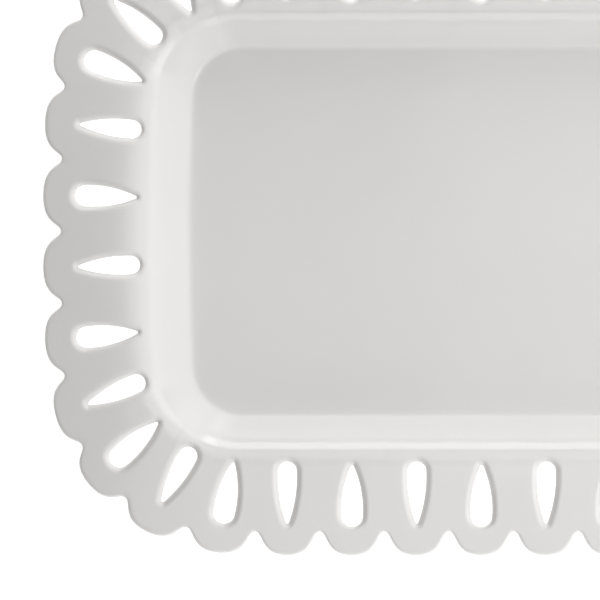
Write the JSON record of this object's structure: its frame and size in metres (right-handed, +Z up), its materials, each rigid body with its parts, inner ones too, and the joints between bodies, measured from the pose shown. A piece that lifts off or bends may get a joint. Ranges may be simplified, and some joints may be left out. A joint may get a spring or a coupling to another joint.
{
  "type": "porcelain serving platter",
  "caption": "Rectangular white glazed serving platter with a deep flat well and a scalloped rim pierced by alternating teardrops, on a low foot ring.",
  "frame": {"origin": "on the surface the platter stands on, under the middle of the platter", "axes": "+X along the length, +Y across the width, +Z up out of the well"},
  "size_m": [0.362, 0.2496, 0.024],
  "materials": {
    "white_glaze": "clear gloss glaze over white porcelain",
    "bare_foot": "glazed sides with a ground, unglazed resting edge"
  },
  "bodies": {
    "root": {"china_body": "white_glaze", "foot_ring": "bare_foot"}
  },
  "joints": []
}
